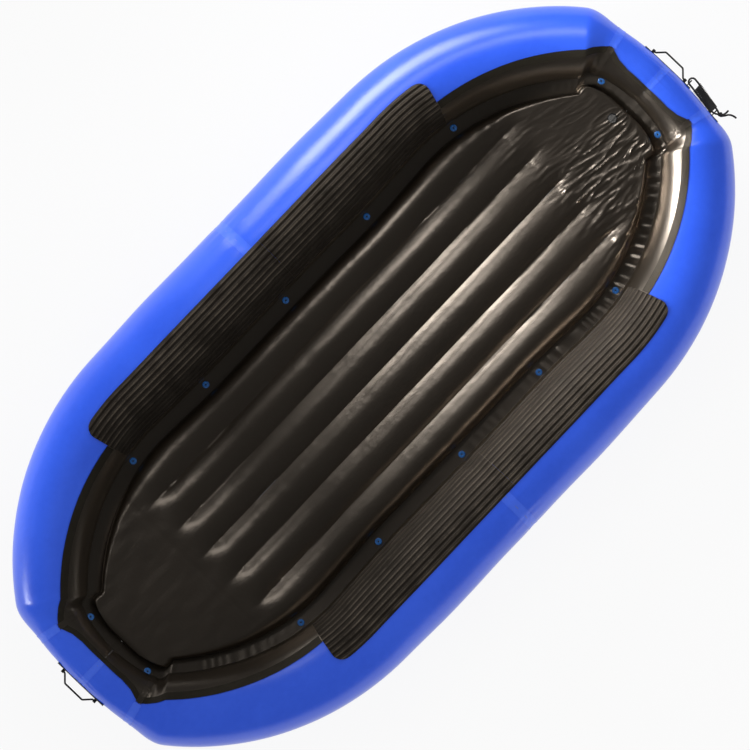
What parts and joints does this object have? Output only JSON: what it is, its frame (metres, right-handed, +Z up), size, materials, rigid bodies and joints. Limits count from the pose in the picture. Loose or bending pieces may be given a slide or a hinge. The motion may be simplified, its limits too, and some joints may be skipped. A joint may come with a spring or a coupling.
{
  "type": "inflatable raft",
  "caption": "Self-bailing inflatable whitewater raft with tapered raised ends, parted air chambers, an I-beam floor laced in by drain eyelets, ribbed wear pads, valves and carry handles.",
  "frame": {"origin": "on the ground, midships on the centre line, under the side tubes", "axes": "+X towards the bow, +Y to port, +Z up"},
  "size_m": [3.5913, 1.8296, 0.5538],
  "materials": {
    "cap_grey": "matte",
    "eyelet_blue": "satin",
    "floor_black": "satin",
    "handle_black": "matte",
    "line_black": "matte",
    "pad_black": "matte",
    "tube_blue": "satin",
    "valve_black": "matte",
    "valve_white": "satin",
    "web_grey": "matte",
    "wrap_black": "satin"
  },
  "bodies": {
    "hull": {"baffle_bow": "web_grey", "baffle_port": "web_grey", "baffle_starboard": "web_grey", "baffle_stern": "web_grey", "bow_line": "line_black", "chamber_port_bow": "tube_blue", "chamber_port_stern": "tube_blue", "chamber_starboard_bow": "tube_blue", "chamber_starboard_stern": "tube_blue", "drain_eyelet_bow_port": "eyelet_blue", "drain_eyelet_bow_starboard": "eyelet_blue", "drain_eyelet_port_1": "eyelet_blue", "drain_eyelet_port_2": "eyelet_blue", "drain_eyelet_port_3": "eyelet_blue", "drain_eyelet_port_4": "eyelet_blue", "drain_eyelet_port_5": "eyelet_blue", "drain_eyelet_starboard_1": "eyelet_blue", "drain_eyelet_starboard_2": "eyelet_blue", "drain_eyelet_starboard_3": "eyelet_blue", "drain_eyelet_starboard_4": "eyelet_blue", "drain_eyelet_starboard_5": "eyelet_blue", "drain_eyelet_stern_port": "eyelet_blue", "drain_eyelet_stern_starboard": "eyelet_blue", "floor_beam_centre": "web_grey", "floor_beam_port_1": "web_grey", "floor_beam_port_2": "web_grey", "floor_beam_starboard_1": "web_grey", "floor_beam_starboard_2": "web_grey", "floor_bladder": "floor_black", "floor_flange_port": "wrap_black", "floor_flange_starboard": "wrap_black", "handle_patch_bow": "handle_black", "handle_patch_stern": "handle_black", "line_anchor": "handle_black", "skirt_bow": "wrap_black", "skirt_port": "wrap_black", "skirt_starboard": "wrap_black", "skirt_stern": "wrap_black", "valve_body_floor": "valve_black", "valve_body_port_bow": "valve_black", "valve_body_port_stern": "valve_black", "valve_body_starboard_bow": "valve_black", "valve_body_starboard_stern": "valve_black", "wear_pad_port_bow": "pad_black", "wear_pad_port_stern": "pad_black", "wear_pad_starboard_bow": "pad_black", "wear_pad_starboard_stern": "pad_black"},
    "plunger_floor": {"valve_plunger_floor": "valve_white"},
    "cap_floor": {"valve_cap_floor": "cap_grey"},
    "plunger_port_bow": {"valve_plunger_port_bow": "valve_white"},
    "cap_port_bow": {"valve_cap_port_bow": "cap_grey"},
    "plunger_port_stern": {"valve_plunger_port_stern": "valve_white"},
    "cap_port_stern": {"valve_cap_port_stern": "cap_grey"},
    "plunger_starboard_bow": {"valve_plunger_starboard_bow": "valve_white"},
    "cap_starboard_bow": {"valve_cap_starboard_bow": "cap_grey"},
    "plunger_starboard_stern": {"valve_plunger_starboard_stern": "valve_white"},
    "cap_starboard_stern": {"valve_cap_starboard_stern": "cap_grey"},
    "handle_bow": {"handle_bail_bow": "handle_black"},
    "handle_stern": {"handle_bail_stern": "handle_black"}
  },
  "joints": [
    {"name": "plunger_floor_press", "type": "slide", "parent": "hull", "child": "plunger_floor", "axis": [0.3794, 0, -0.9253], "range_m": [0, 0.005], "stiffness_N_per_m": 300, "springref_m": -0.002},
    {"name": "cap_floor_lift", "type": "slide", "parent": "hull", "child": "cap_floor", "axis": [-0.3794, 0, 0.9253], "range_m": [0, 0.03]},
    {"name": "plunger_port_bow_press", "type": "slide", "parent": "hull", "child": "plunger_port_bow", "axis": [-0.601, -0.7873, 0.1374], "range_m": [0, 0.005], "stiffness_N_per_m": 300, "springref_m": -0.002},
    {"name": "cap_port_bow_lift", "type": "slide", "parent": "hull", "child": "cap_port_bow", "axis": [0.601, 0.7873, -0.1374], "range_m": [0, 0.03]},
    {"name": "plunger_port_stern_press", "type": "slide", "parent": "hull", "child": "plunger_port_stern", "axis": [0.601, -0.7873, 0.1374], "range_m": [0, 0.005], "stiffness_N_per_m": 300, "springref_m": -0.002},
    {"name": "cap_port_stern_lift", "type": "slide", "parent": "hull", "child": "cap_port_stern", "axis": [-0.601, 0.7873, -0.1374], "range_m": [0, 0.03]},
    {"name": "plunger_starboard_bow_press", "type": "slide", "parent": "hull", "child": "plunger_starboard_bow", "axis": [-0.601, 0.7873, 0.1374], "range_m": [0, 0.005], "stiffness_N_per_m": 300, "springref_m": -0.002},
    {"name": "cap_starboard_bow_lift", "type": "slide", "parent": "hull", "child": "cap_starboard_bow", "axis": [0.601, -0.7873, -0.1374], "range_m": [0, 0.03]},
    {"name": "plunger_starboard_stern_press", "type": "slide", "parent": "hull", "child": "plunger_starboard_stern", "axis": [0.601, 0.7873, 0.1374], "range_m": [0, 0.005], "stiffness_N_per_m": 300, "springref_m": -0.002},
    {"name": "cap_starboard_stern_lift", "type": "slide", "parent": "hull", "child": "cap_starboard_stern", "axis": [-0.601, -0.7873, -0.1374], "range_m": [0, 0.03]},
    {"name": "handle_bow_swing", "type": "hinge", "parent": "hull", "child": "handle_bow", "pos_m": [1.75445, 0, 0.43146], "axis": [0, -1, 0], "range_deg": [-80, 80]},
    {"name": "handle_stern_swing", "type": "hinge", "parent": "hull", "child": "handle_stern", "pos_m": [-1.75445, 0, 0.43146], "axis": [0, 1, 0], "range_deg": [-80, 80]}
  ]
}
